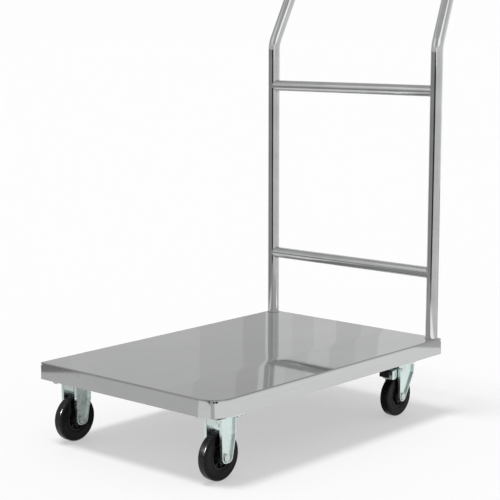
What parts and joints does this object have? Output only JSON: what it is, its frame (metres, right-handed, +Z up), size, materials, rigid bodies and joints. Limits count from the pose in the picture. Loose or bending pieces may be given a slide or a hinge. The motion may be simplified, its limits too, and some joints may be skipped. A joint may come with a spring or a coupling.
{
  "type": "platform luggage cart",
  "caption": "Platform luggage cart with a folded steel deck, a bent push handle with crossbars, fixed casters at the free end and braked swivel casters under the handle.",
  "frame": {"origin": "on the floor, at the bottom centre of the cart's overall box", "axes": "+X towards the free end, away from the handle; +Y towards the cart's left; +Z up"},
  "size_m": [0.9874, 0.6, 1.2],
  "materials": {
    "deck_steel": "stainless sheet polished to a soft mirror",
    "frame_steel": "plain rolled stainless sheet",
    "tube_steel": "polished stainless tube",
    "zinc_steel": "bright zinc plate, faintly blue",
    "fastener_steel": "bright plated fasteners",
    "bearing_steel": "ground and greased",
    "spring_steel": "oiled spring wire",
    "tyre_rubber": "smooth black rubber, faint sheen",
    "hub_plastic": "moulded black plastic",
    "pedal_plastic": "moulded black plastic, fine texture"
  },
  "bodies": {
    "chassis": {"cross_channel_front": "frame_steel", "cross_channel_rear": "frame_steel", "deck_panel": "deck_steel", "handle_bolts": "fastener_steel", "handle_plugs": "frame_steel", "handle_socket_left": "frame_steel", "handle_socket_right": "frame_steel", "handle_tube": "tube_steel", "lower_crossbar": "tube_steel", "mounting_bolts": "fastener_steel", "mounting_nuts": "fastener_steel", "stiffener_front": "frame_steel", "stiffener_rear": "frame_steel", "upper_crossbar": "tube_steel", "front_left_plate": "zinc_steel", "front_left_fork": "zinc_steel", "front_left_axle_bolt": "fastener_steel", "front_left_axle_nut": "fastener_steel", "front_left_axle_sleeve": "bearing_steel", "rear_left_plate": "zinc_steel", "rear_left_kingpin": "zinc_steel", "front_right_plate": "zinc_steel", "front_right_fork": "zinc_steel", "front_right_axle_bolt": "fastener_steel", "front_right_axle_nut": "fastener_steel", "front_right_axle_sleeve": "bearing_steel", "rear_right_plate": "zinc_steel", "rear_right_kingpin": "zinc_steel"},
    "front_left_wheel": {"front_left_hub": "hub_plastic", "front_left_tyre": "tyre_rubber", "front_left_bearings": "bearing_steel"},
    "rear_left_swivel": {"rear_left_fork": "zinc_steel", "rear_left_race_balls": "bearing_steel", "rear_left_dust_seal": "zinc_steel", "rear_left_axle_bolt": "fastener_steel", "rear_left_axle_nut": "fastener_steel", "rear_left_axle_sleeve": "bearing_steel", "rear_left_brake_pin": "fastener_steel", "rear_left_brake_spring": "spring_steel"},
    "rear_left_wheel": {"rear_left_hub": "hub_plastic", "rear_left_tyre": "tyre_rubber", "rear_left_bearings": "bearing_steel"},
    "rear_left_brake": {"rear_left_brake_lever": "zinc_steel", "rear_left_brake_pedal": "pedal_plastic"},
    "front_right_wheel": {"front_right_hub": "hub_plastic", "front_right_tyre": "tyre_rubber", "front_right_bearings": "bearing_steel"},
    "rear_right_swivel": {"rear_right_fork": "zinc_steel", "rear_right_race_balls": "bearing_steel", "rear_right_dust_seal": "zinc_steel", "rear_right_axle_bolt": "fastener_steel", "rear_right_axle_nut": "fastener_steel", "rear_right_axle_sleeve": "bearing_steel", "rear_right_brake_pin": "fastener_steel", "rear_right_brake_spring": "spring_steel"},
    "rear_right_wheel": {"rear_right_hub": "hub_plastic", "rear_right_tyre": "tyre_rubber", "rear_right_bearings": "bearing_steel"},
    "rear_right_brake": {"rear_right_brake_lever": "zinc_steel", "rear_right_brake_pedal": "pedal_plastic"}
  },
  "joints": [
    {"name": "front_left_spin", "type": "hinge", "parent": "chassis", "child": "front_left_wheel", "pos_m": [0.4287, 0.247, 0.0585], "axis": [0, 1, 0], "continuous": true},
    {"name": "rear_left_turn", "type": "hinge", "parent": "chassis", "child": "rear_left_swivel", "pos_m": [-0.3393, 0.224, 0.149], "axis": [0, 0, 1], "continuous": true},
    {"name": "rear_left_spin", "type": "hinge", "parent": "rear_left_swivel", "child": "rear_left_wheel", "pos_m": [-0.3023, 0.224, 0.0555], "axis": [0, 1, 0], "continuous": true},
    {"name": "rear_left_brake_press", "type": "hinge", "parent": "rear_left_swivel", "child": "rear_left_brake", "pos_m": [-0.3033, 0.224, 0.128], "axis": [0, 1, 0], "range_deg": [0, 7]},
    {"name": "front_right_spin", "type": "hinge", "parent": "chassis", "child": "front_right_wheel", "pos_m": [0.4287, -0.247, 0.0585], "axis": [0, 1, 0], "continuous": true},
    {"name": "rear_right_turn", "type": "hinge", "parent": "chassis", "child": "rear_right_swivel", "pos_m": [-0.3393, -0.224, 0.149], "axis": [0, 0, 1], "continuous": true},
    {"name": "rear_right_spin", "type": "hinge", "parent": "rear_right_swivel", "child": "rear_right_wheel", "pos_m": [-0.3023, -0.224, 0.0555], "axis": [0, 1, 0], "continuous": true},
    {"name": "rear_right_brake_press", "type": "hinge", "parent": "rear_right_swivel", "child": "rear_right_brake", "pos_m": [-0.3033, -0.224, 0.128], "axis": [0, 1, 0], "range_deg": [0, 7]}
  ]
}
